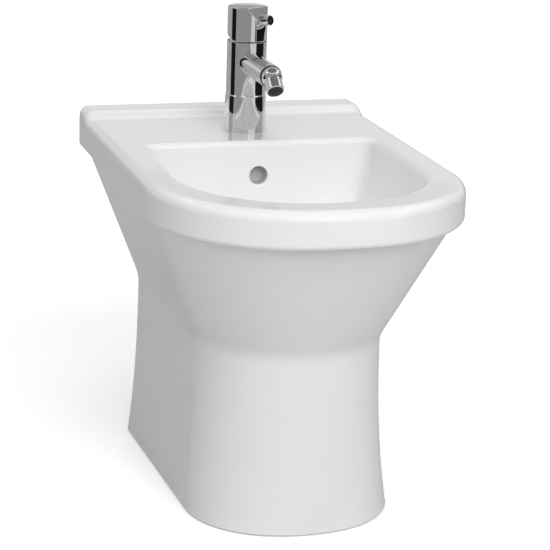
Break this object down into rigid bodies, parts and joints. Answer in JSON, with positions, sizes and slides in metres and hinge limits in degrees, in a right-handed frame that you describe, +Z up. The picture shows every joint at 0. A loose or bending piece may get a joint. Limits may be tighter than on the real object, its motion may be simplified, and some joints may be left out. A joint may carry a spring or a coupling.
{
  "type": "floor standing bidet",
  "caption": "Floor standing bidet in white glazed china with a chrome single lever tap, a ball joint nozzle and a push waste.",
  "frame": {"origin": "on the floor, under the middle of the ceramic", "axes": "+Z up, -Y towards the front, +Y towards the wall, +X to the right of a viewer in front"},
  "size_m": [0.36, 0.54, 0.552],
  "materials": {
    "china": "white glaze, glossy",
    "chrome": "polished chrome plate",
    "brass": "turned brass",
    "steel": "turned steel",
    "rubber": "matt black rubber",
    "white_plastic": "moulded",
    "dark_plastic": "moulded",
    "red_plastic": "moulded"
  },
  "bodies": {
    "bidet": {"ceramic_body": "china", "tap_body": "chrome", "base_seal": "rubber", "fixing_stud": "brass", "horseshoe_seal": "rubber", "horseshoe_plate": "steel", "fixing_nut": "brass", "cartridge": "white_plastic", "cartridge_nut": "brass", "cover_ring": "chrome", "waste_flange": "chrome", "flange_seal": "rubber", "under_seal": "rubber", "back_nut": "brass"},
    "turning_core": {"turret": "white_plastic", "pivot_pin": "steel"},
    "handle": {"stem": "steel", "handle_head": "chrome", "lever_pin": "chrome", "grub_screw": "steel", "indicator_plug": "red_plastic"},
    "swivel": {"spout_ball": "chrome"},
    "nozzle": {"nozzle_cup": "chrome", "ball_seal": "rubber", "nozzle_shell": "chrome", "aerator_insert": "dark_plastic"},
    "plug": {"plug_cap": "chrome", "plug_seal": "rubber", "plug_stem": "steel"}
  },
  "joints": [
    {"name": "handle_turn", "type": "hinge", "parent": "bidet", "child": "turning_core", "pos_m": [0, 0.139, 0.502], "axis": [0, 0, 1], "range_deg": [-80, 20]},
    {"name": "handle_lift", "type": "hinge", "parent": "turning_core", "child": "handle", "pos_m": [0, 0.139, 0.502], "axis": [-0.866, -0.5, 0], "range_deg": [0, 20]},
    {"name": "nozzle_swivel", "type": "hinge", "parent": "bidet", "child": "swivel", "pos_m": [0, 0.029, 0.485], "axis": [0, -0.866, -0.5], "range_deg": [-25, 25]},
    {"name": "nozzle_tilt", "type": "hinge", "parent": "swivel", "child": "nozzle", "pos_m": [0, 0.029, 0.485], "axis": [1, 0, 0], "range_deg": [-28, 6]},
    {"name": "plug_press", "type": "slide", "parent": "bidet", "child": "plug", "axis": [0, 0, 1], "range_m": [-0.008, 0]}
  ]
}
